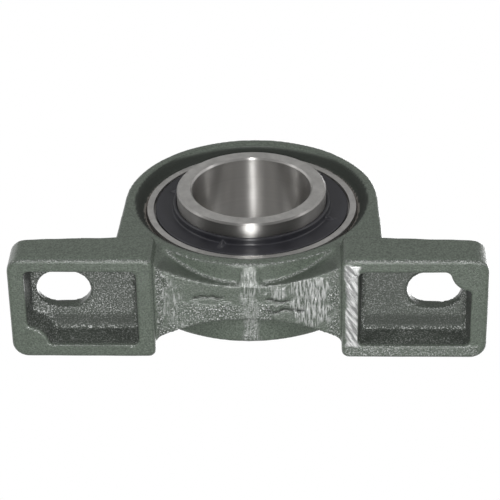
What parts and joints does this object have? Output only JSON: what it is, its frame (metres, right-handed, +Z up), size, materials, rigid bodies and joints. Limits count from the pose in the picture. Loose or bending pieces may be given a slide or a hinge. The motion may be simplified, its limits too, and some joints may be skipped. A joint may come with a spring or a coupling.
{
  "type": "pillow block bearing",
  "caption": "Cast pillow block on two pocketed, slotted feet with a self-aligning ball bearing insert held by set screws.",
  "frame": {"origin": "bearing centre on the shaft axis, in the middle plane of the balls", "axes": "+Y along the shaft towards the set-screw end of the inner ring, +X along the base towards the right foot, +Z up from the base to the shaft"},
  "size_m": [0.2122, 0.0556, 0.1219],
  "materials": {
    "painted_casting": "dark grey-green gloss paint over grey iron",
    "bearing_steel": "ground steel",
    "ball_steel": "polished steel",
    "cage_steel": "pressed steel sheet",
    "seal_steel": "zinc-plated sheet",
    "seal_rubber": "moulded nitrile rubber",
    "slinger_black": "satin black",
    "screw_black": "black oxide",
    "plated_steel": "bright zinc plate"
  },
  "bodies": {
    "housing_body": {"housing": "painted_casting", "grease_nipple": "plated_steel", "nipple_spring": "ball_steel"},
    "outer_ring_body": {"outer_ring": "bearing_steel", "seal_case_front": "seal_steel", "seal_case_rear": "seal_steel", "seal_lip_front": "seal_rubber", "seal_lip_rear": "seal_rubber"},
    "inner_ring_body": {"inner_ring": "bearing_steel", "slinger_front": "slinger_black", "slinger_rear": "slinger_black"},
    "cage_body": {"cage_half_front": "cage_steel", "cage_half_rear": "cage_steel", "cage_rivets": "cage_steel"},
    "set_screw_1_body": {"set_screw_1": "screw_black"},
    "set_screw_2_body": {"set_screw_2": "screw_black"},
    "check_ball_body": {"nipple_ball": "ball_steel"},
    "ball_01_body": {"ball_01": "ball_steel"},
    "ball_02_body": {"ball_02": "ball_steel"},
    "ball_03_body": {"ball_03": "ball_steel"},
    "ball_04_body": {"ball_04": "ball_steel"},
    "ball_05_body": {"ball_05": "ball_steel"},
    "ball_06_body": {"ball_06": "ball_steel"},
    "ball_07_body": {"ball_07": "ball_steel"},
    "ball_08_body": {"ball_08": "ball_steel"},
    "ball_09_body": {"ball_09": "ball_steel"},
    "ball_10_body": {"ball_10": "ball_steel"}
  },
  "joints": [
    {"name": "insert_tilt", "type": "hinge", "parent": "housing_body", "child": "outer_ring_body", "pos_m": [0, 0, 0], "axis": [1, 0, 0], "range_deg": [-3, 3]},
    {"name": "shaft_spin", "type": "hinge", "parent": "outer_ring_body", "child": "inner_ring_body", "pos_m": [0, 0, 0], "axis": [0, 1, 0], "continuous": true},
    {"name": "cage_orbit", "type": "hinge", "parent": "outer_ring_body", "child": "cage_body", "pos_m": [0, 0, 0], "axis": [0, 1, 0], "continuous": true},
    {"name": "ball_01_roll", "type": "hinge", "parent": "cage_body", "child": "ball_01_body", "pos_m": [0, 0, 0.03875], "axis": [0, 1, 0], "continuous": true},
    {"name": "ball_02_roll", "type": "hinge", "parent": "cage_body", "child": "ball_02_body", "pos_m": [-0.02278, 0, 0.03135], "axis": [0, 1, 0], "continuous": true},
    {"name": "ball_03_roll", "type": "hinge", "parent": "cage_body", "child": "ball_03_body", "pos_m": [-0.03685, 0, 0.01197], "axis": [0, 1, 0], "continuous": true},
    {"name": "ball_04_roll", "type": "hinge", "parent": "cage_body", "child": "ball_04_body", "pos_m": [-0.03685, 0, -0.01197], "axis": [0, 1, 0], "continuous": true},
    {"name": "ball_05_roll", "type": "hinge", "parent": "cage_body", "child": "ball_05_body", "pos_m": [-0.02278, 0, -0.03135], "axis": [0, 1, 0], "continuous": true},
    {"name": "ball_06_roll", "type": "hinge", "parent": "cage_body", "child": "ball_06_body", "pos_m": [0, 0, -0.03875], "axis": [0, 1, 0], "continuous": true},
    {"name": "ball_07_roll", "type": "hinge", "parent": "cage_body", "child": "ball_07_body", "pos_m": [0.02278, 0, -0.03135], "axis": [0, 1, 0], "continuous": true},
    {"name": "ball_08_roll", "type": "hinge", "parent": "cage_body", "child": "ball_08_body", "pos_m": [0.03685, 0, -0.01197], "axis": [0, 1, 0], "continuous": true},
    {"name": "ball_09_roll", "type": "hinge", "parent": "cage_body", "child": "ball_09_body", "pos_m": [0.03685, 0, 0.01197], "axis": [0, 1, 0], "continuous": true},
    {"name": "ball_10_roll", "type": "hinge", "parent": "cage_body", "child": "ball_10_body", "pos_m": [0.02278, 0, 0.03135], "axis": [0, 1, 0], "continuous": true},
    {"name": "set_screw_1_travel", "type": "slide", "parent": "inner_ring_body", "child": "set_screw_1_body", "axis": [0, 0, 1], "range_m": [0, 0.003]},
    {"name": "set_screw_2_travel", "type": "slide", "parent": "inner_ring_body", "child": "set_screw_2_body", "axis": [0.866, 0, -0.5], "range_m": [0, 0.003]},
    {"name": "check_ball_travel", "type": "slide", "parent": "housing_body", "child": "check_ball_body", "axis": [-0.7071, 0, -0.7071], "range_m": [0, 0.0006], "stiffness_N_per_m": 200, "springref_m": -0.001}
  ],
  "couplings": [
    {"joint": "cage_orbit", "follows": "shaft_spin", "ratio": 0.40782},
    {"joint": "ball_01_roll", "follows": "shaft_spin", "ratio": -2.62},
    {"joint": "ball_02_roll", "follows": "shaft_spin", "ratio": -2.62},
    {"joint": "ball_03_roll", "follows": "shaft_spin", "ratio": -2.62},
    {"joint": "ball_04_roll", "follows": "shaft_spin", "ratio": -2.62},
    {"joint": "ball_05_roll", "follows": "shaft_spin", "ratio": -2.62},
    {"joint": "ball_06_roll", "follows": "shaft_spin", "ratio": -2.62},
    {"joint": "ball_07_roll", "follows": "shaft_spin", "ratio": -2.62},
    {"joint": "ball_08_roll", "follows": "shaft_spin", "ratio": -2.62},
    {"joint": "ball_09_roll", "follows": "shaft_spin", "ratio": -2.62},
    {"joint": "ball_10_roll", "follows": "shaft_spin", "ratio": -2.62}
  ]
}
